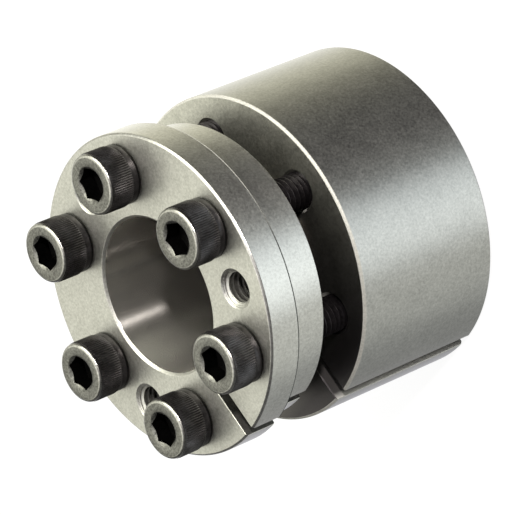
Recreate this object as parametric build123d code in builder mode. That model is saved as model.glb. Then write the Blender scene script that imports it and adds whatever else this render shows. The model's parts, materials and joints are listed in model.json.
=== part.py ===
from build123d import *
import os
from math import cos, radians, sin, tan

# Keyless locking assembly: a split tapered inner ring with a flange, a split spacer ring behind
# the flange, a split outer ring with a matching tapered bore, and six cap screws. The screws pull
# the outer ring up the taper, which closes the inner ring on a shaft and opens the outer ring in a
# hub. It is modelled slack, as supplied, with an open gap between the spacer and the outer ring.
#
# Millimetres. Z runs up the shaft axis, the origin is the centre of the outer ring's rear face,
# on which the assembly stands, and the screw heads are on top. Every slit faces -Y.

# Outer ring
ring_diameter = 55.0
ring_length = 28.5
ring_edge_chamfer = 0.8
ring_slit_width = 2.8

# Taper between the outer ring and the sleeve of the inner ring
taper_half_angle = 2.86
taper_clearance = 0.25

# Inner ring: flange, sleeve and shaft bore
shaft_diameter = 26.0
sleeve_wall_at_end = 1.6
bore_chamfer = 0.6
flange_thickness = 6.0
flange_rim_beyond_heads = 1.5
flange_edge_chamfer = 0.5
inner_slit_width = 2.2
slit_edge_chamfer = 0.3

# Spacer ring between the flange and the outer ring
spacer_thickness = 7.2
spacer_wall_beyond_holes = 1.2
spacer_slit_width = 2.2
spacer_bore_clearance = 0.1

# Slack between the spacer and the outer ring, and how much of it tightening takes up
slack_gap = 6.0
clamp_travel = 3.0
sleeve_end_clearance = 0.3

# Cap screws (M6), and how far outside the bore wall their axes stand
screw_count = 6
screw_axis_depth = 7.3
screw_diameter = 6.0
screw_length = 30.0
head_diameter = 10.2
head_height = 6.2
socket_width = 5.1
socket_depth = 3.0
socket_edge_chamfer = 0.2
screw_hole_clearance = 0.2
thread_clearance = 0.05

# Tapped jack-out holes in the flange, one opposite the slit and the others a third of a turn from
# it, for screws that push on the spacer
jack_count = 3
jack_angle = 90.0
jack_hole_diameter = 5.0
jack_countersink_diameter = 6.8

# Heights of the faces, from the rear face of the outer ring upwards
spacer_bottom = ring_length + slack_gap
spacer_top = spacer_bottom + spacer_thickness
flange_top = spacer_top + flange_thickness
sleeve_end = clamp_travel + sleeve_end_clearance
head_top = flange_top + head_height
screw_tip = flange_top - screw_length

# Radii: the screws stand clear of the shaft bore, and the flange and spacer reach past the screws
ring_radius = ring_diameter / 2
shaft_radius = shaft_diameter / 2
screw_radius = screw_diameter / 2
head_radius = head_diameter / 2
screw_circle_radius = shaft_radius + screw_axis_depth
screw_hole_radius = screw_radius + screw_hole_clearance
thread_hole_radius = screw_radius + thread_clearance
flange_radius = screw_circle_radius + head_radius + flange_rim_beyond_heads
spacer_radius = screw_circle_radius + screw_hole_radius + spacer_wall_beyond_holes

taper_slope = tan(radians(taper_half_angle))
sleeve_end_radius = shaft_radius + sleeve_wall_at_end


def sleeve_radius(height):
    """Outer radius of the tapered sleeve at a height above the origin."""
    return sleeve_end_radius + (height - sleeve_end) * taper_slope


def taper_bore_radius(height):
    """Radius of the outer ring's tapered bore at a height above the origin."""
    return sleeve_radius(height) + taper_clearance


spacer_seat_radius = sleeve_radius(spacer_bottom)
spacer_bore_radius = spacer_seat_radius + spacer_bore_clearance

# The rings are turned from a profile drawn on the side where they are sawn through
profile_plane = Plane((0, 0, 0), x_dir=(0, -1, 0), z_dir=(-1, 0, 0))

os.makedirs("parts", exist_ok=True)

# Inner ring: flange and tapered sleeve turned as one piece, bored for the shaft and sawn through
# along its whole length on one side
with BuildPart() as inner_ring:
    with BuildSketch(profile_plane):
        with BuildLine():
            Polyline(
                (shaft_radius, sleeve_end),
                (sleeve_end_radius, sleeve_end),
                (spacer_seat_radius, spacer_bottom),
                (spacer_seat_radius, spacer_top),
                (flange_radius, spacer_top),
                (flange_radius, flange_top - flange_edge_chamfer),
                (flange_radius - flange_edge_chamfer, flange_top),
                (shaft_radius + bore_chamfer, flange_top),
                (shaft_radius, flange_top - bore_chamfer),
                close=True,
            )
        make_face()
    revolve(axis=Axis.Z)
    # Clearance holes for the clamping screws
    with BuildSketch(Plane.XY.offset(flange_top)):
        with PolarLocations(screw_circle_radius, screw_count):
            Circle(screw_hole_radius)
    extrude(amount=-flange_thickness, mode=Mode.SUBTRACT)
    # Tapped jack-out holes, countersunk on the front
    with Locations(Plane.XY.offset(flange_top)):
        with PolarLocations(screw_circle_radius, jack_count, start_angle=jack_angle):
            CounterSinkHole(
                radius=jack_hole_diameter / 2,
                counter_sink_radius=jack_countersink_diameter / 2,
                depth=flange_thickness,
                counter_sink_angle=90,
            )
    # Saw cut
    with BuildSketch(Plane.XY.offset(sleeve_end)):
        with Locations((0, -flange_radius / 2)):
            Rectangle(inner_slit_width, flange_radius)
    extrude(amount=flange_top - sleeve_end, mode=Mode.SUBTRACT)
    slit_rims = inner_ring.faces().sort_by(Axis.Z)[-1].edges().filter_by(Axis.Y)
    chamfer(slit_rims, length=slit_edge_chamfer)
inner_ring.part.label = "inner_ring"
export_step(inner_ring.part, "parts/inner_ring.step")

# Spacer ring: a plain split ring on the sleeve, against the back of the flange, drilled for the
# clamping screws
with BuildPart() as spacer_ring:
    with BuildSketch(profile_plane):
        with BuildLine():
            Polyline(
                (spacer_bore_radius, spacer_bottom),
                (spacer_radius, spacer_bottom),
                (spacer_radius, spacer_top),
                (spacer_bore_radius, spacer_top),
                close=True,
            )
        make_face()
    revolve(axis=Axis.Z)
    with BuildSketch(Plane.XY.offset(spacer_top)):
        with PolarLocations(screw_circle_radius, screw_count):
            Circle(screw_hole_radius)
    extrude(amount=-spacer_thickness, mode=Mode.SUBTRACT)
    with BuildSketch(Plane.XY.offset(spacer_bottom)):
        with Locations((0, -spacer_radius / 2)):
            Rectangle(spacer_slit_width, spacer_radius)
    extrude(amount=spacer_thickness, mode=Mode.SUBTRACT)
spacer_ring.part.label = "spacer_ring"
export_step(spacer_ring.part, "parts/spacer_ring.step")

# Outer ring: cylinder with a tapered bore, tapped right through for the clamping screws and sawn
# through on one side
with BuildPart() as outer_ring:
    with BuildSketch(profile_plane):
        with BuildLine():
            Polyline(
                (taper_bore_radius(0), 0),
                (ring_radius, 0),
                (ring_radius, ring_length - ring_edge_chamfer),
                (ring_radius - ring_edge_chamfer, ring_length),
                (taper_bore_radius(ring_length), ring_length),
                close=True,
            )
        make_face()
    revolve(axis=Axis.Z)
    with BuildSketch(Plane.XY):
        with PolarLocations(screw_circle_radius, screw_count):
            Circle(thread_hole_radius)
        with Locations((0, -ring_radius / 2)):
            Rectangle(ring_slit_width, ring_radius)
    extrude(amount=ring_length, mode=Mode.SUBTRACT)
outer_ring.part.label = "outer_ring"
export_step(outer_ring.part, "parts/outer_ring.step")

# Cap screws: cylinder head seated on the flange, hex socket, shank down into the outer ring
for number in range(1, screw_count + 1):
    screw_angle = radians((number - 1) * 360 / screw_count)
    screw_x = screw_circle_radius * cos(screw_angle)
    screw_y = screw_circle_radius * sin(screw_angle)
    screw_axis = Axis((screw_x, screw_y, 0), (0, 0, 1))
    with BuildPart() as clamp_screw:
        with BuildSketch(Plane.XZ.offset(-screw_y)):
            with BuildLine():
                Polyline(
                    (screw_x, screw_tip),
                    (screw_x + screw_radius, screw_tip),
                    (screw_x + screw_radius, flange_top),
                    (screw_x + head_radius, flange_top),
                    (screw_x + head_radius, head_top),
                    (screw_x, head_top),
                    close=True,
                )
            make_face()
        revolve(axis=screw_axis)
        with BuildSketch(Plane.XY.offset(head_top)):
            with Locations((screw_x, screw_y)):
                RegularPolygon(socket_width / 2, 6, major_radius=False)
        extrude(amount=-socket_depth, mode=Mode.SUBTRACT)
        socket_rim = clamp_screw.faces().sort_by(Axis.Z)[-1].edges().filter_by(GeomType.LINE)
        chamfer(socket_rim, length=socket_edge_chamfer)
    clamp_screw.part.label = f"clamp_screw_{number}"
    export_step(clamp_screw.part, f"parts/clamp_screw_{number}.step")
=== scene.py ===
import json
from math import ceil, cos, hypot, pi, radians, sin, tan

import bmesh
import bpy
from mathutils import Matrix, Vector


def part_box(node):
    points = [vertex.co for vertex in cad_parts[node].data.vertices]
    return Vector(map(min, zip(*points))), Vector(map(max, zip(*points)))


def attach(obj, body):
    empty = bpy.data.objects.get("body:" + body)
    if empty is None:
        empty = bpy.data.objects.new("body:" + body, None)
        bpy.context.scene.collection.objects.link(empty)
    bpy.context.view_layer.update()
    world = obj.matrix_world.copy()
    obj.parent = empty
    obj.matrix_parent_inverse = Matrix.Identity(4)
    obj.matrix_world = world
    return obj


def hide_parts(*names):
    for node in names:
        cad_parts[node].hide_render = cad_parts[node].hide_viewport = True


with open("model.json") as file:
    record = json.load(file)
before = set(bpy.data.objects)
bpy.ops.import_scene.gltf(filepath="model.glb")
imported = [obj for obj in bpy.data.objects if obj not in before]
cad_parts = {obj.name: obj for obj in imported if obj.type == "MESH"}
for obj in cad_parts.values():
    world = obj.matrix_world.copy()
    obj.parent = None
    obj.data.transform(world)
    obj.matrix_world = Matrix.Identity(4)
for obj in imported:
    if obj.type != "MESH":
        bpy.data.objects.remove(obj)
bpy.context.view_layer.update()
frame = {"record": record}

# Keyless locking assembly: a flanged inner ring, a spacer ring and an outer ring, all three split
# on the -Y side, and six cap screws. Metres, with Z up the shaft axis from the outer ring's rear
# face. The heads and the front faces are on top.
MM = 0.001

# ---------------------------------------------------------------------------------------------
# Sizes
# ---------------------------------------------------------------------------------------------

# Read from the frame
mounts = {mount["name"]: mount for mount in frame["record"]["mounts"]}
_, outer_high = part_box("outer_ring")
inner_low, inner_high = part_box("inner_ring")
spacer_low, spacer_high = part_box("spacer_ring")
screw_low, screw_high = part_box("clamp_screw_1")

ring_radius = outer_high.x
ring_length = outer_high.z
sleeve_end = inner_low.z
flange_radius = inner_high.x
flange_top = inner_high.z
spacer_radius = spacer_high.x
spacer_bottom = spacer_low.z
spacer_top = spacer_high.z
head_height = screw_high.z - flange_top
screw_tip = screw_low.z
head_radius = screw_high.y
screw_circle_radius = screw_high.x - head_radius
shaft_radius = mounts["shaft_bore"]["dims"]["r_mm"] * MM

# Rings: what the frame doesn't give
sleeve_end_radius = shaft_radius + 1.6 * MM
taper_slope = tan(radians(2.86))
taper_clearance = 0.25 * MM
spacer_bore_clearance = 0.1 * MM
screw_hole_radius = 3.2 * MM
tapped_hole_radius = 3.05 * MM
inner_slit = 2.2 * MM
spacer_slit = 2.2 * MM
outer_slit = 2.8 * MM

# Worn front rims of the flange and the outer ring: a small chamfer with rounded corners
rim_chamfer = 0.32 * MM
rim_round = 0.22 * MM

# Rear edge of the flange, at the seam with the spacer: a chamfer and a narrow band above it
seam_chamfer = 0.25 * MM
seam_height = 0.43 * MM

# Tapped jack-out holes, countersunk
jack_count = 3
jack_angle = radians(90)
jack_sink_radius = 3.35 * MM
jack_sink_depth = 1.15 * MM

# Screws
screw_count = 6
thread_radius = 3.0 * MM
thread_pitch = 1.0 * MM
thread_depth = 0.613 * MM
thread_run_out = 1.2 * MM
tap_share = 0.85
knurl_teeth = 80
knurl_depth = 0.16 * MM
socket_half_width = 2.55 * MM
socket_depth = 3.0 * MM
socket_drill_depth = 0.9 * MM
socket_sink_radius = 3.05 * MM
socket_sink_slope = tan(radians(36))
socket_turns = [radians(value) for value in (0, 43, 30, 30, 38, 20)]

# How finely the meshes are cut: all round a ring, a hole and a thread, over a tooth of the knurl,
# up one pitch of a thread, and along a right angle of a rounded corner and of a head's crown
RING_SEGMENTS = 288
HOLE_SEGMENTS = 64
THREAD_SEGMENTS = 48
TOOTH_SEGMENTS = 6
THREAD_ROWS = 8
ARC_STEPS = 3
CROWN_STEPS = 4

# How far drills and saws run past the faces that they cut
DRILL_BEYOND = 1 * MM
SAW_BEYOND = 2 * MM


# ---------------------------------------------------------------------------------------------
# Mesh helpers
# ---------------------------------------------------------------------------------------------

def mesh_object(name, vertices, faces):
    """A new object from a list of points and a list of faces."""
    mesh = bpy.data.meshes.new(name)
    mesh.from_pydata(vertices, [], faces)
    mesh.validate()
    piece = bpy.data.objects.new(name, mesh)
    bpy.context.scene.collection.objects.link(piece)
    return piece


def on_circle(centre, radius, angle, height):
    """A point at an angle and a height about a vertical axis."""
    return centre[0] + radius * cos(angle), centre[1] + radius * sin(angle), height


def rounded(corners):
    """The points of a closed outline in (radius, height), with each corner (radius, height, round)
    replaced by an arc of that radius."""
    points = []
    count = len(corners)
    for index, (x, y, size) in enumerate(corners):
        if size == 0:
            points.append((x, y))
            continue
        before = corners[index - 1]
        after = corners[(index + 1) % count]
        to_before = Vector((before[0] - x, before[1] - y)).normalized()
        to_after = Vector((after[0] - x, after[1] - y)).normalized()
        half = to_before.angle(to_after) / 2
        middle = Vector((x, y)) + (to_before + to_after).normalized() * (size / sin(half))
        start = Vector((x, y)) + to_before * (size / tan(half)) - middle
        end = Vector((x, y)) + to_after * (size / tan(half)) - middle
        sweep = start.angle_signed(end)
        steps = max(1, ceil(ARC_STEPS * abs(sweep) / radians(90)))
        for step in range(steps + 1):
            turn = -sweep * step / steps
            points.append((
                middle.x + start.x * cos(turn) - start.y * sin(turn),
                middle.y + start.x * sin(turn) + start.y * cos(turn),
            ))
    return points


def turned(name, outline):
    """A solid of revolution about the shaft axis, from a closed outline that goes anticlockwise
    in (radius, height)."""
    rows = len(outline)
    vertices = []
    for column in range(RING_SEGMENTS):
        angle = 2 * pi * (column + 0.5) / RING_SEGMENTS
        vertices += [on_circle((0.0, 0.0), radius, angle, height) for radius, height in outline]
    faces = []
    for column in range(RING_SEGMENTS):
        here = column * rows
        there = (column + 1) % RING_SEGMENTS * rows
        for row in range(rows):
            above = (row + 1) % rows
            faces.append((here + row, there + row, there + above, here + above))
    return mesh_object(name, vertices, faces)


def pin(name, outline, centre):
    """A closed pin about a vertical axis, from an outline of (radius, height) that goes upwards."""
    vertices = []
    for radius, height in outline:
        for column in range(HOLE_SEGMENTS):
            vertices.append(on_circle(centre, radius, 2 * pi * column / HOLE_SEGMENTS, height))
    faces = []
    for row in range(len(outline) - 1):
        low = row * HOLE_SEGMENTS
        high = low + HOLE_SEGMENTS
        for column in range(HOLE_SEGMENTS):
            after = (column + 1) % HOLE_SEGMENTS
            faces.append((low + column, low + after, high + after, high + column))
    top = (len(outline) - 1) * HOLE_SEGMENTS
    faces.append(tuple(reversed(range(HOLE_SEGMENTS))))
    faces.append(tuple(range(top, top + HOLE_SEGMENTS)))
    return mesh_object(name, vertices, faces)


def thread_shape(phase):
    """How deep the thread is cut at a phase of its pitch, from 0 on the crest to 1 in the root."""
    crest_end = 0.125
    root_start = 0.5
    root_end = 0.75
    phase %= 1.0
    if phase <= crest_end:
        return 0.0
    if phase < root_start:
        return (phase - crest_end) / (root_start - crest_end)
    if phase <= root_end:
        return 1.0
    return (1.0 - phase) / (1.0 - root_end)


def threaded(name, low, high, centre, radius_at, start=0.0):
    """A closed threaded rod from a height of low to one pitch above high. Its rows climb one pitch
    a turn, so the last column joins the first one pitch higher. radius_at(phase, height) gives the
    radius."""
    rows = ceil((high - low) / thread_pitch * THREAD_ROWS)
    stride = rows + 1
    vertices = []
    for column in range(THREAD_SEGMENTS):
        angle = 2 * pi * column / THREAD_SEGMENTS
        for row in range(stride):
            phase = row / THREAD_ROWS
            height = low + (phase + column / THREAD_SEGMENTS) * thread_pitch
            vertices.append(on_circle(centre, radius_at(phase, height), angle + start, height))
    final = (THREAD_SEGMENTS - 1) * stride
    faces = []
    for here in range(0, final + 1, stride):
        lift = THREAD_ROWS if here == final else 0
        there = lift if here == final else here + stride
        for row in range(rows - lift):
            faces.append((here + row, there + row, there + row + 1, here + row + 1))
    # A fan closes each end, round one turn of the thread and the step where that turn ends
    bottom = [*range(0, final + 1, stride), *range(THREAD_ROWS, 0, -1)]
    last = final + rows
    top = [*range(rows, last + 1, stride), *range(last - 1, last - THREAD_ROWS - 1, -1)]
    for loop, height, order in ((bottom, low, -1), (top, high + thread_pitch, 1)):
        hub = len(vertices)
        vertices.append((*centre, height))
        for index, corner in enumerate(loop):
            pair = (corner, loop[(index + 1) % len(loop)])
            faces.append((hub,) + pair[::order])
    return mesh_object(name, vertices, faces)


def turn_outwards(piece):
    """Turns every face of a closed mesh outwards."""
    work = bmesh.new()
    work.from_mesh(piece.data)
    bmesh.ops.recalc_face_normals(work, faces=work.faces)
    work.to_mesh(piece.data)
    work.free()


def prism(name, outline, place, length):
    """A straight prism: outline is a list of (a, b), place turns (a, b, c) into a point, and c
    runs from 0 to length."""
    count = len(outline)
    vertices = [place(a, b, c) for c in (0.0, length) for a, b in outline]
    faces = [tuple(range(count)), tuple(reversed(range(count, 2 * count)))]
    for index in range(count):
        after = (index + 1) % count
        faces.append((index, index + count, after + count, after))
    piece = mesh_object(name, vertices, faces)
    turn_outwards(piece)
    return piece


def joined(pieces):
    """Several objects joined into the first."""
    with bpy.context.temp_override(active_object=pieces[0], selected_editable_objects=pieces):
        bpy.ops.object.join()
    return pieces[0]


def apply_modifiers(piece):
    """Gives a piece the mesh that its modifiers make."""
    bpy.context.view_layer.update()
    graph = bpy.context.evaluated_depsgraph_get()
    result = bpy.data.meshes.new_from_object(piece.evaluated_get(graph))
    piece.modifiers.clear()
    piece.data = result


def cut(piece, cutter):
    """Takes a closed mesh out of another, and deletes the cutter."""
    modifier = piece.modifiers.new("cut", "BOOLEAN")
    modifier.operation = "DIFFERENCE"
    modifier.solver = "EXACT"
    modifier.object = cutter
    apply_modifiers(piece)
    bpy.data.objects.remove(cutter)


def smooth(piece, sharp_degrees):
    """Smooth shading that stays crisp at edges, weighted by the size of the faces."""
    piece.data.shade_smooth()
    piece.data.set_sharp_from_angle(angle=radians(sharp_degrees))
    modifier = piece.modifiers.new("normals", "WEIGHTED_NORMAL")
    modifier.keep_sharp = True
    modifier.weight = 80
    apply_modifiers(piece)


# ---------------------------------------------------------------------------------------------
# Rings
# ---------------------------------------------------------------------------------------------

def around(count, start=0.0):
    """Centres evenly spaced on the screw circle."""
    angles = [start + 2 * pi * index / count for index in range(count)]
    return [(screw_circle_radius * cos(angle), screw_circle_radius * sin(angle)) for angle in angles]


def sleeve_radius(height):
    """Outer radius of the tapered sleeve at a height."""
    return sleeve_end_radius + (height - sleeve_end) * taper_slope


def taper_bore_radius(height):
    """Radius of the outer ring's tapered bore at a height."""
    return sleeve_radius(height) + taper_clearance


def drills(radius, low, high, chamfer, straight_top=False):
    """Drills for the six screw holes from low to high. They chamfer both ends of each hole, or
    only its lower end."""
    outline = [(radius + chamfer + DRILL_BEYOND, low - DRILL_BEYOND), (radius, low + chamfer)]
    if straight_top:
        outline.append((radius, high + DRILL_BEYOND))
    else:
        outline.append((radius, high - chamfer))
        outline.append((radius + chamfer + DRILL_BEYOND, high + DRILL_BEYOND))
    return joined([pin("drill", outline, centre) for centre in around(screw_count)])


def saw(width, low, high, inside, outside, edge):
    """What a saw takes out on the -Y side from low to high, with the edges that it leaves on the
    outside broken."""
    half = width / 2
    flare = half + SAW_BEYOND + edge
    outline = [
        (-half, -inside + SAW_BEYOND), (-half, -outside + edge), (-flare, -outside - SAW_BEYOND),
        (flare, -outside - SAW_BEYOND), (half, -outside + edge), (half, -inside + SAW_BEYOND),
    ]
    length = high - low + 2 * DRILL_BEYOND
    return prism("saw", outline, lambda a, b, c: (a, b, low - DRILL_BEYOND + c), length)


def edge_file(width, high, inside, outside, edge):
    """What a file takes off the edges that the saw leaves on the front face."""
    reach = width / 2 + edge
    outline = [
        (0.0, high - reach),
        (reach + SAW_BEYOND, high + SAW_BEYOND),
        (-reach - SAW_BEYOND, high + SAW_BEYOND),
    ]
    start = inside - SAW_BEYOND
    length = outside + SAW_BEYOND - start
    return prism("file", outline, lambda a, b, c: (a, -start - c, b), length)


def tap_radius(phase, height):
    """Radius of the tap, whose thread is a little less deep than the screws' own."""
    return thread_radius - thread_depth * thread_shape(phase) * tap_share


def countersink(centre):
    """Cutter for the countersink of a jack-out hole, which was turned in fine steps."""
    tip = 0.2 * MM
    ledge = 0.03 * MM
    riser = 0.09 * MM
    outline = [(tip, flange_top - jack_sink_radius + tip)]
    for depth in (1.1 * MM, 0.8 * MM, 0.5 * MM, 0.25 * MM):
        radius = jack_sink_radius - depth
        outline.append((radius, flange_top - depth))
        outline.append((radius + ledge, flange_top - depth + riser))
    outline.append((jack_sink_radius, flange_top))
    outline.append((jack_sink_radius + DRILL_BEYOND, flange_top + DRILL_BEYOND))
    return pin("sink", outline, centre)


def make_inner_ring():
    """Flange and tapered sleeve in one piece, with the bore, the slit and its holes."""
    bore_chamfer = 0.42 * MM
    end_chamfer = 0.5 * MM
    hole_chamfer = 0.3 * MM
    slit_edge = 0.08 * MM
    seam_round = 0.08 * MM
    fine = 0.12 * MM
    seat_radius = sleeve_radius(spacer_bottom)
    piece = turned("inner_ring_dressed", rounded([
        (shaft_radius, sleeve_end + end_chamfer, 0),
        (shaft_radius + end_chamfer, sleeve_end, 0),
        (sleeve_end_radius - end_chamfer, sleeve_end, 0),
        (sleeve_end_radius, sleeve_end + end_chamfer, fine),
        (seat_radius, spacer_bottom, 0),
        (seat_radius, spacer_top, 0),
        (flange_radius - seam_chamfer, spacer_top, seam_round),
        (flange_radius, spacer_top + seam_chamfer, seam_round),
        (flange_radius, spacer_top + seam_height, 0),
        (flange_radius, flange_top - rim_chamfer, rim_round),
        (flange_radius - rim_chamfer, flange_top, rim_round),
        (shaft_radius + bore_chamfer, flange_top, fine),
        (shaft_radius, flange_top - bore_chamfer, fine),
    ]))
    cut(piece, drills(screw_hole_radius, spacer_top, flange_top, hole_chamfer))
    tap_low = spacer_top - 2 * DRILL_BEYOND
    tap_high = flange_top + DRILL_BEYOND
    jack_centres = around(jack_count, jack_angle)
    taps = [threaded("tap", tap_low, tap_high, centre, tap_radius) for centre in jack_centres]
    cut(piece, joined(taps))
    cut(piece, joined([countersink(centre) for centre in jack_centres]))
    cut(piece, saw(inner_slit, sleeve_end, flange_top, shaft_radius, flange_radius, slit_edge))
    cut(piece, edge_file(inner_slit, flange_top, shaft_radius, flange_radius, slit_edge))
    return piece


def make_spacer_ring():
    """Plain split ring behind the flange."""
    edge = 0.25 * MM
    hole_chamfer = 0.3 * MM
    slit_edge = 0.1 * MM
    fine = 0.06 * MM
    bore_radius = sleeve_radius(spacer_bottom) + spacer_bore_clearance
    piece = turned("spacer_ring_dressed", rounded([
        (bore_radius, spacer_bottom + edge, 0),
        (bore_radius + edge, spacer_bottom, 0),
        (spacer_radius - edge, spacer_bottom, fine),
        (spacer_radius, spacer_bottom + edge, fine),
        (spacer_radius, spacer_top - edge, fine),
        (spacer_radius - edge, spacer_top, fine),
        (bore_radius, spacer_top, 0),
    ]))
    cut(piece, drills(screw_hole_radius, spacer_bottom, spacer_top, hole_chamfer, straight_top=True))
    cut(piece, saw(spacer_slit, spacer_bottom, spacer_top, bore_radius, spacer_radius, slit_edge))
    return piece


def make_outer_ring():
    """Cylinder with a tapered bore, drilled for the screws and sawn through."""
    back_chamfer = 0.5 * MM
    bore_edge = 0.6 * MM
    hole_chamfer = 0.5 * MM
    slit_edge = 0.15 * MM
    fine = 0.12 * MM
    mouth_radius = taper_bore_radius(ring_length)
    piece = turned("outer_ring_dressed", rounded([
        (taper_bore_radius(bore_edge), bore_edge, 0),
        (taper_bore_radius(0) + bore_edge, 0, 0),
        (ring_radius - back_chamfer, 0, fine),
        (ring_radius, back_chamfer, fine),
        (ring_radius, ring_length - rim_chamfer, rim_round),
        (ring_radius - rim_chamfer, ring_length, rim_round),
        (mouth_radius + bore_edge, ring_length, fine),
        (taper_bore_radius(ring_length - bore_edge), ring_length - bore_edge, fine),
    ]))
    cut(piece, drills(tapped_hole_radius, 0.0, ring_length, hole_chamfer))
    cut(piece, saw(outer_slit, 0.0, ring_length, mouth_radius, ring_radius, slit_edge))
    cut(piece, edge_file(outer_slit, ring_length, mouth_radius, ring_radius, slit_edge))
    return piece


# Material slots of a ring
OUTSIDE, FRONT, BORE, CUT_WALL, IN_GAP, WORN_RIM, SEAM = range(7)


def ring_slots(piece):
    """The slot of each face of a ring, told by where the face is and which way it faces."""
    beside_slit = outer_slit / 2 + 0.2 * MM
    in_tap = thread_radius + 0.05 * MM
    in_bore = shaft_radius + 0.2 * MM
    in_gap = spacer_bottom + 0.1 * MM
    inside_screws = screw_circle_radius - thread_radius
    rim_reach = rim_chamfer + 0.08 * MM
    seam_start = seam_chamfer - 0.01 * MM
    seam_end = seam_height - 0.01 * MM
    jack_centres = around(jack_count, jack_angle)
    slots = []
    for polygon in piece.data.polygons:
        centre, normal = polygon.center, polygon.normal
        radius = hypot(*centre.xy)
        # 1 where a wall faces straight away from the shaft axis, and -1 where it faces the axis
        outwards = centre.xy.normalized().dot(normal.xy)
        sawn = abs(normal.x) > 0.9 and abs(centre.x) < beside_slit and centre.y < 0
        tapped = spacer_top < centre.z < flange_top - jack_sink_depth and any(
            hypot(centre.x - x, centre.y - y) < in_tap for x, y in jack_centres
        )
        spacer_rear = normal.z < -0.9 and centre.z > ring_length
        sleeve = radius < inside_screws and outwards > 0.5
        on_flange = radius > spacer_radius + 1 * MM and outwards > 0.98
        # Walls of slits and taps take a material painted dark as shade in the recess
        if sawn or tapped:
            slots.append(CUT_WALL)
        # Faces in the gap between the spacer and the outer ring are painted near black as shade
        elif centre.z < in_gap and (spacer_rear or sleeve):
            slots.append(IN_GAP)
        elif outwards < -0.8 and radius < in_bore:
            slots.append(BORE)
        elif abs(centre.z - ring_length) < rim_reach and 0.1 < outwards < 0.99:
            slots.append(WORN_RIM)
        elif on_flange and seam_start < centre.z - spacer_top < seam_end:
            slots.append(SEAM)
        elif outwards > 0.3:
            slots.append(OUTSIDE)
        else:
            slots.append(FRONT)
    return slots


# ---------------------------------------------------------------------------------------------
# Screws
# ---------------------------------------------------------------------------------------------

# Material slots of a screw: oxide outside, worn front face, socket and foot of the head painted near
# black as shade, thread painted darker as shade, and worn crown
OXIDE, FACE, DARK, THREAD, CROWN = range(5)


def head_rows():
    """Profile of a head from its seat outwards, up over the crown and in to the socket's sink. Each
    row has its height above the seat, its radius, its share of the knurl's depth, and the slot of
    the faces between it and the next row."""
    band_radius = head_radius - 0.15 * MM
    band_height = 1.55 * MM
    seat_round = 0.25 * MM
    run_in = 0.25 * MM
    knurl_end = head_height - 0.62 * MM
    crown_edge = head_radius - 0.12 * MM
    crown_round = 0.5 * MM
    rows = [
        # The foot of the head takes the dark slot, painted shade where it meets the flange
        (0.0, thread_radius, 0, DARK),
        (0.0, band_radius - seat_round, 0, DARK),
        (0.08 * MM, band_radius - 0.08 * MM, 0, DARK),
        (seat_round, band_radius, 0, DARK),
        (2 * seat_round, band_radius, 0, OXIDE),
        (band_height - run_in, band_radius, 0, OXIDE),
        (band_height - 0.12 * MM, band_radius - 0.04 * MM, 0, OXIDE),
        (band_height, crown_edge, 0.25, OXIDE),
        (band_height + run_in, head_radius, 1, OXIDE),
        (knurl_end - run_in, head_radius, 1, OXIDE),
        (knurl_end - 0.05 * MM, head_radius - 0.1 * MM, 0.25, OXIDE),
        (head_height - crown_round, crown_edge, 0, OXIDE),
    ]
    for step in range(1, CROWN_STEPS + 1):
        turn = radians(90) * step / CROWN_STEPS
        height = head_height - crown_round * (1 - sin(turn))
        radius = crown_edge - crown_round + crown_round * cos(turn)
        rows.append((height, radius, 0, FACE if step == CROWN_STEPS else CROWN))
    rows.append((head_height, socket_sink_radius + 0.06 * MM, 0, FACE))
    rows.append((head_height - 0.02 * MM, socket_sink_radius, 0, FACE))
    return rows


def make_head(name, centre, socket_turn):
    """A knurled head with its socket, in one skin, and the slot of each face."""
    rows = head_rows()
    row_slots = [slot for height, radius, knurl, slot in rows] + [DARK]
    stride = len(rows) + 2
    columns = knurl_teeth * TOOTH_SEGMENTS
    vertices = []
    for column in range(columns):
        angle = 2 * pi * column / columns
        tooth = column % TOOTH_SEGMENTS / TOOTH_SEGMENTS
        notch = knurl_depth * (1 - cos(2 * pi * tooth)) / 2
        from_flat = (angle - socket_turn + pi / 6) % (pi / 3) - pi / 6
        hexagon = socket_half_width / cos(from_flat)
        section = [(radius - notch * knurl, height) for height, radius, knurl, slot in rows]
        # The conical sink ends on the hexagon, deeper at the flats than at the corners
        section.append((hexagon, head_height - (socket_sink_radius - hexagon) * socket_sink_slope))
        section.append((hexagon, head_height - socket_depth))
        for radius, height in section:
            vertices.append(on_circle(centre, radius, angle, flange_top + height))
    drill_point = len(vertices)
    vertices.append((*centre, flange_top + head_height - socket_depth - socket_drill_depth))
    seat_hub = len(vertices)
    vertices.append((*centre, flange_top))
    faces = []
    slots = []
    for column in range(columns):
        here = column * stride
        there = (column + 1) % columns * stride
        for row in range(stride - 1):
            faces.append((here + row, there + row, there + row + 1, here + row + 1))
        faces.append((here + stride - 1, there + stride - 1, drill_point))
        faces.append((seat_hub, there, here))
        slots += row_slots + [DARK, OXIDE]
    return mesh_object(name, vertices, faces), slots


def shank_radius(phase, height):
    """Radius of the threaded shank, which narrows to the root of the thread at the tip."""
    depth = thread_depth * thread_shape(phase)
    from_tip = max((height - screw_tip) / thread_run_out, 0)
    return thread_radius - max(depth, thread_depth * (1 - from_tip))


def make_screw(number, centre, socket_turn):
    """A knurled socket cap screw, head and threaded shank, and the slot of each face."""
    head, slots = make_head(f"head_{number}", centre, socket_turn)
    below_seat = 0.2 * MM
    high = flange_top - thread_pitch - below_seat
    shank = threaded(f"shank_{number}", screw_tip, high, centre, shank_radius, start=socket_turn)
    slots += [THREAD] * len(shank.data.polygons)
    piece = joined([head, shank])
    piece.name = f"cap_screw_{number}"
    piece.data.name = piece.name
    return piece, slots


# ---------------------------------------------------------------------------------------------
# Materials
# ---------------------------------------------------------------------------------------------

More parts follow.
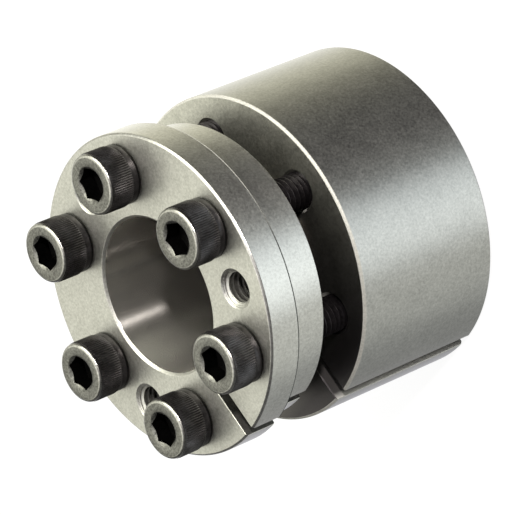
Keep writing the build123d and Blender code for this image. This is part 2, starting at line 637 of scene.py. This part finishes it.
def add_node(tree, kind, inputs, **settings):
    """A new node. Each input, by name or number, gets a value or the output that feeds it."""
    node = tree.nodes.new(kind)
    for name, value in settings.items():
        setattr(node, name, value)
    for key, value in inputs.items():
        if isinstance(value, bpy.types.NodeSocket):
            tree.links.new(value, node.inputs[key])
        else:
            node.inputs[key].default_value = value
    return node


def new_material(name):
    material = bpy.data.materials.new(name)
    material.use_nodes = True
    return material, material.node_tree, material.node_tree.nodes["Principled BSDF"]


def noise(tree, point, scale, detail, roughness):
    inputs = {"Vector": point, "Scale": scale, "Detail": detail, "Roughness": roughness}
    return add_node(tree, "ShaderNodeTexNoise", inputs).outputs["Fac"]


def ramp(tree, value, source, target):
    """A value taken from one range to another, and kept within it."""
    inputs = {
        "Value": value,
        "From Min": source[0], "From Max": source[1],
        "To Min": target[0], "To Max": target[1],
    }
    return add_node(tree, "ShaderNodeMapRange", inputs).outputs["Result"]


def mix_colour(tree, factor, first, second):
    """Two colours mixed, each given as a tuple of red, green and blue or as an output. The node's
    colours A and B are its inputs 6 and 7, and their mix is its output 2."""
    a, b = ((*colour, 1.0) if isinstance(colour, tuple) else colour for colour in (first, second))
    inputs = {"Factor": factor, 6: a, 7: b}
    return add_node(tree, "ShaderNodeMix", inputs, data_type="RGBA").outputs[2]


def maths(tree, operation, first, second):
    return add_node(tree, "ShaderNodeMath", {0: first, 1: second}, operation=operation).outputs[0]


def vector_maths(tree, operation, inputs):
    return add_node(tree, "ShaderNodeVectorMath", inputs, operation=operation).outputs


def total(tree, first, *others):
    for other in others:
        first = maths(tree, "ADD", first, other)
    return first


def bump(tree, principled, height, distance, strength):
    inputs = {"Height": height, "Distance": distance, "Strength": strength}
    normal = add_node(tree, "ShaderNodeBump", inputs).outputs["Normal"]
    tree.links.new(normal, principled.inputs["Normal"])


def radius_and_height(tree, point):
    """A point of the part turned into (distance from the shaft axis, height, 0)."""
    x, y, z = add_node(tree, "ShaderNodeSeparateXYZ", {0: point}).outputs
    squares = total(tree, maths(tree, "MULTIPLY", x, x), maths(tree, "MULTIPLY", y, y))
    radius = maths(tree, "POWER", squares, 0.5)
    return add_node(tree, "ShaderNodeCombineXYZ", {0: radius, 1: z}).outputs[0]


def machined_steel(name, dark, light, rough, relief=0.6, metallic=1.0, anisotropic=0.0, painted_shade=None):
    """Machined steel: a speckled grain, soft stains and fine tool marks round the shaft axis. An
    anisotropic finish draws highlights out across the tool marks. Where given, painted shade darkens
    the colour along an axis: (axis, where it is unshaded, where it is fully shaded, colour of the
    shade)."""
    material, tree, principled = new_material(name)
    point = add_node(tree, "ShaderNodeTexCoord", {}).outputs["Object"]
    grain = noise(tree, point, scale=2300.0, detail=5.0, roughness=0.75)
    stains = noise(tree, point, scale=240.0, detail=6.0, roughness=0.75)
    marks = noise(tree, radius_and_height(tree, point), scale=5200.0, detail=2.0, roughness=0.5)
    tone = total(
        tree,
        ramp(tree, grain, (0.36, 0.64), (0.1, 0.65)),
        ramp(tree, stains, (0.35, 0.65), (0.0, 0.2)),
        ramp(tree, marks, (0.3, 0.7), (0.0, 0.05)),
    )
    colour = mix_colour(tree, tone, dark, light)
    # Painted shade: the colour darkens along the axis towards the shade colour
    if painted_shade is not None:
        axis, unshaded_at, shaded_at, shade_colour = painted_shade
        place = add_node(tree, "ShaderNodeSeparateXYZ", {0: point}).outputs[axis]
        shade_share = ramp(tree, place, (unshaded_at, shaded_at), (0.0, 1.0))
        colour = mix_colour(tree, shade_share, colour, shade_colour)
    tree.links.new(colour, principled.inputs["Base Color"])
    principled.inputs["Metallic"].default_value = metallic
    if anisotropic:
        tangent = add_node(tree, "ShaderNodeTangent", {}, direction_type="RADIAL", axis="Z")
        tree.links.new(tangent.outputs[0], principled.inputs["Tangent"])
        principled.inputs["Anisotropic"].default_value = anisotropic
        principled.inputs["Anisotropic Rotation"].default_value = 0.25
    spread = 0.07 * relief
    roughness = total(
        tree,
        ramp(tree, stains, (0.35, 0.65), (-0.3 * spread, 0.3 * spread)),
        ramp(tree, grain, (0.3, 0.7), (-spread, spread)),
        rough,
    )
    tree.links.new(roughness, principled.inputs["Roughness"])
    height = total(
        tree,
        ramp(tree, grain, (0.2, 0.8), (0.0, 0.7)),
        ramp(tree, marks, (0.2, 0.8), (0.0, 0.5)),
    )
    bump(tree, principled, height, distance=0.012 * MM, strength=relief)
    return material


def black_oxide(name, dark, light, rough, metallic=0.75):
    """Oiled black oxide on forged steel, with a fine grain and lighter patches."""
    material, tree, principled = new_material(name)
    point = add_node(tree, "ShaderNodeTexCoord", {}).outputs["Object"]
    grain = noise(tree, point, scale=2200.0, detail=4.0, roughness=0.7)
    patches = noise(tree, point, scale=420.0, detail=3.0, roughness=0.6)
    tone = total(
        tree,
        ramp(tree, grain, (0.3, 0.7), (0.0, 0.4)),
        ramp(tree, patches, (0.35, 0.7), (0.0, 0.6)),
    )
    tree.links.new(mix_colour(tree, tone, dark, light), principled.inputs["Base Color"])
    principled.inputs["Metallic"].default_value = metallic
    roughness = total(tree, ramp(tree, grain, (0.3, 0.7), (-0.06, 0.06)), rough)
    tree.links.new(roughness, principled.inputs["Roughness"])
    bump(tree, principled, grain, distance=0.01 * MM, strength=0.5)
    return material


# Turned walls of the rings, with the bore painted darker downwards as painted shade
ring_steel = machined_steel(
    "ring_steel_satin", (0.39, 0.38, 0.362), (0.77, 0.76, 0.73), 0.36, anisotropic=0.5
)
# The outer ring's copy is darker than the ring steel: partly its own tone, partly painted shade
outer_steel_partly_painted_shade = machined_steel(
    "outer_steel_partly_painted_shade", (0.28, 0.275, 0.265), (0.60, 0.59, 0.57), 0.36, anisotropic=0.5
)
bore_steel_painted_shade = machined_steel(
    "bore_steel_painted_shade", (0.50, 0.485, 0.46), (0.78, 0.755, 0.71), 0.26,
    relief=0.03, metallic=0.92, anisotropic=1.0,
    painted_shade=("Z", 46 * MM, 30 * MM, (0.26, 0.243, 0.23)),
)

# Faced fronts, the outer ring's painted darker towards the slit as painted shade
ring_face = machined_steel("ring_face", (0.38, 0.375, 0.345), (0.72, 0.71, 0.67), 0.42)
outer_face_painted_shade = machined_steel(
    "outer_face_painted_shade", (0.34, 0.335, 0.30), (0.74, 0.73, 0.67), 0.42,
    painted_shade=("Y", 4 * MM, -24 * MM, (0.075, 0.069, 0.073)),
)

# Walls of the slits and taps, and faces in the gap, painted dark as shade in these recesses. The
# outer ring's slit walls are lighter, with painted shade that darkens them inward from the outer
# edge.
sawn_wall_painted_shade = machined_steel("sawn_wall_painted_shade", (0.10, 0.097, 0.09), (0.24, 0.235, 0.22), 0.55)
wide_sawn_wall_painted_shade = machined_steel(
    "wide_sawn_wall_painted_shade", (0.40, 0.395, 0.38), (0.64, 0.63, 0.61), 0.60, metallic=0.2,
    painted_shade=("Y", -27.3 * MM, -26.2 * MM, (0.05, 0.046, 0.046)),
)
gap_painted_shade = machined_steel("gap_painted_shade", (0.03, 0.027, 0.025), (0.09, 0.082, 0.075), 0.5)

# Worn edges: the outer ring's front rim, and the flange's rear edge, painted darker towards the slit
# as painted shade
edge_dark, edge_light = (0.36, 0.355, 0.335), (0.62, 0.61, 0.575)
worn_edge = machined_steel("worn_edge", edge_dark, edge_light, 0.60, metallic=0.45)
seam_edge_painted_shade = machined_steel(
    "seam_edge_painted_shade", edge_dark, edge_light, 0.60, metallic=0.6,
    painted_shade=("Y", 3 * MM, -9 * MM, (0.05, 0.055, 0.055)),
)

# Screws
oxide = black_oxide("black_oxide", (0.010, 0.008, 0.008), (0.082, 0.078, 0.082), 0.32)
worn_face = machined_steel(
    "worn_screw_face", (0.02, 0.018, 0.017), (0.36, 0.355, 0.33), 0.36, relief=1.0
)
worn_crown = machined_steel(
    "worn_crown", (0.20, 0.195, 0.18), (0.66, 0.65, 0.61), 0.32, relief=0.8
)
# The thread is painted darker than the oxide, as painted shade in the gap
thread_painted_shade = black_oxide("thread_painted_shade", (0.006, 0.005, 0.006), (0.040, 0.035, 0.038), 0.36)
# Socket and foot of the head are painted near black as shade
painted_socket_shade = black_oxide(
    "socket_painted_shade", (0.004, 0.004, 0.004), (0.014, 0.013, 0.013), 0.5, metallic=1.0
)


# ---------------------------------------------------------------------------------------------
# The pieces in place
# ---------------------------------------------------------------------------------------------

def dress(piece, materials, slots):
    """Gives a piece its materials, one for each slot, and each of its faces a slot."""
    piece.data.materials.clear()
    for material in materials:
        piece.data.materials.append(material)
    piece.data.polygons.foreach_set("material_index", slots)


for make, node, body, outside, front, cut_wall in (
    (make_inner_ring, "inner_ring", "inner", ring_steel, ring_face, sawn_wall_painted_shade),
    (make_spacer_ring, "spacer_ring", "inner", ring_steel, ring_face, sawn_wall_painted_shade),
    (make_outer_ring, "outer_ring", "outer", outer_steel_partly_painted_shade, outer_face_painted_shade, wide_sawn_wall_painted_shade),
):
    ring = make()
    smooth(ring, 30.0)
    materials = (outside, front, bore_steel_painted_shade, cut_wall, gap_painted_shade, worn_edge, seam_edge_painted_shade)
    dress(ring, materials, ring_slots(ring))
    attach(ring, body)
    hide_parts(node)

for index, centre in enumerate(around(screw_count)):
    number = index + 1
    screw, slots = make_screw(number, centre, socket_turns[index])
    dress(screw, (oxide, worn_face, painted_socket_shade, thread_painted_shade, worn_crown), slots)
    smooth(screw, 40.0)
    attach(screw, f"screw_{number}")
    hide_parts(f"clamp_screw_{number}")


# ---------------------------------------------------------------------------------------------
# Camera and lamps
# ---------------------------------------------------------------------------------------------

def direction(azimuth, elevation):
    """The unit vector at an azimuth from +X and an elevation, in degrees."""
    azimuth, elevation = radians(azimuth), radians(elevation)
    return Vector((
        cos(elevation) * cos(azimuth),
        cos(elevation) * sin(azimuth),
        sin(elevation),
    ))


def looking(place, target, roll=0.0):
    """The matrix of a camera or lamp at a place, looking at a target, turned by roll."""
    forward = (target - place).normalized()
    level = forward.cross(Vector((0, 0, 1))).normalized()
    up = level.cross(forward)
    turned_up = up * cos(roll) + level * sin(roll)
    right = forward.cross(turned_up)
    return Matrix((
        (right.x, turned_up.x, -forward.x, place.x),
        (right.y, turned_up.y, -forward.y, place.y),
        (right.z, turned_up.z, -forward.z, place.z),
        (0, 0, 0, 1),
    ))


aim = Vector((-0.55, 0.46, 25.9)) * MM
camera_distance = 0.649
camera_roll = radians(112.41)
lamp_distance = 0.9

camera_data = bpy.data.cameras.new("camera")
camera_data.sensor_width = 36.0
camera_data.lens = 280.5
camera_data.shift_x = 0.00397
camera_data.shift_y = -0.00747
camera_data.clip_start = 0.01
camera = bpy.data.objects.new("camera", camera_data)
camera.matrix_world = looking(aim + direction(-19.75, 37.04) * camera_distance, aim, camera_roll)
bpy.context.scene.collection.objects.link(camera)
bpy.context.scene.camera = camera


def soft_lamp(name, azimuth, elevation, size, power, colour):
    """A square lamp that looks at the middle of the part."""
    data = bpy.data.lights.new(name, "AREA")
    data.shape = "SQUARE"
    data.size = size
    data.energy = power
    data.color = colour
    lamp = bpy.data.objects.new(name, data)
    lamp.matrix_world = looking(aim + direction(azimuth, elevation) * lamp_distance, aim)
    bpy.context.scene.collection.objects.link(lamp)


# The small lamp draws the streak down the bore
soft_lamp("key", 55, 40, size=0.75, power=8.6, colour=(1.0, 1.0, 0.86))
soft_lamp("streak", -2, 30, size=0.05, power=6.5, colour=(1.0, 0.95, 0.91))


# ---------------------------------------------------------------------------------------------
# Floor and surroundings
# ---------------------------------------------------------------------------------------------

def make_floor():
    """A white floor just under the part. Reflections see it only near the part's foot, and past
    that they see the light from below."""
    half = 3.0
    drop = 0.1 * MM
    foot = 0.9 * ring_radius
    corners = [(-half, -half, -drop), (half, -half, -drop), (half, half, -drop), (-half, half, -drop)]
    piece = mesh_object("floor", corners, [(0, 1, 2, 3)])
    paint = bpy.data.materials.new("floor_paint")
    paint.use_nodes = True
    tree = paint.node_tree
    tree.nodes.clear()
    ray = add_node(tree, "ShaderNodeLightPath", {}).outputs
    diffuse = add_node(tree, "ShaderNodeBsdfDiffuse", {"Color": (0.85, 0.85, 0.85, 1)}).outputs[0]
    white = add_node(tree, "ShaderNodeEmission", {"Strength": 1.08}).outputs[0]
    clear = add_node(tree, "ShaderNodeBsdfTransparent", {}).outputs[0]
    glow = maths(tree, "MULTIPLY", ray["Is Camera Ray"], 0.85)
    paper = add_node(tree, "ShaderNodeMixShader", {0: glow, 1: diffuse, 2: white}).outputs[0]
    place = add_node(tree, "ShaderNodeNewGeometry", {}).outputs["Position"]
    distance = vector_maths(tree, "LENGTH", {0: place})["Value"]
    beyond = maths(tree, "GREATER_THAN", distance, foot)
    seen_through = maths(tree, "MULTIPLY", ray["Is Glossy Ray"], beyond)
    surface = add_node(tree, "ShaderNodeMixShader", {0: seen_through, 1: paper, 2: clear}).outputs[0]
    add_node(tree, "ShaderNodeOutputMaterial", {"Surface": surface})
    piece.data.materials.append(paint)
    return piece


floor = make_floor()

world = bpy.data.worlds.new("studio")
bpy.context.scene.world = world
world.use_nodes = True
sky = world.node_tree
sky.nodes.clear()
sky_point = add_node(sky, "ShaderNodeTexCoord", {}).outputs["Generated"]


def lobe(azimuth, elevation, inner, outer, colour):
    """A soft round patch of light: full within one angle of its middle, and gone past another."""
    middle = direction(azimuth, elevation)
    inputs = {
        "Value": vector_maths(sky, "DOT_PRODUCT", {0: sky_point, 1: middle})["Value"],
        "From Min": cos(radians(outer)), "From Max": cos(radians(inner)),
        "To Min": 0.0, "To Max": 1.0,
    }
    strength = add_node(sky, "ShaderNodeMapRange", inputs, interpolation_type="SMOOTHSTEP")
    return vector_maths(sky, "SCALE", {0: colour, "Scale": strength.outputs["Result"]})[0]


light = lobe(-15, -37, 5, 30, (0.18, 0.20, 0.19))
for patch in (
    # Low on the side of the slits
    lobe(-36, -37, 10, 28, (1.28, 1.41, 1.46)),
    lobe(-70, -37, 10, 45, (0.68, 0.69, 0.63)),
    lobe(-110, -37, 10, 50, (0.15, 0.17, 0.17)),
    lobe(-150, -37, 10, 45, (0.24, 0.235, 0.22)),
    # Low on the far side
    lobe(158, -30, 8, 42, (0.78, 0.79, 0.90)),
    lobe(125, -30, 8, 45, (0.86, 0.85, 0.66)),
    lobe(90, -30, 8, 38, (0.14, 0.135, 0.09)),
    # High
    lobe(125, 55, 20, 55, (1.35, 1.36, 1.18)),
    lobe(0, 85, 10, 40, (0.90, 0.88, 0.88)),
    # Everywhere
    (0.07, 0.07, 0.07),
):
    light = vector_maths(sky, "ADD", {0: light, 1: patch})[0]
background = add_node(sky, "ShaderNodeBackground", {"Color": light})
add_node(sky, "ShaderNodeOutputWorld", {"Surface": background.outputs[0]})

bpy.context.scene.view_settings.view_transform = "Standard"
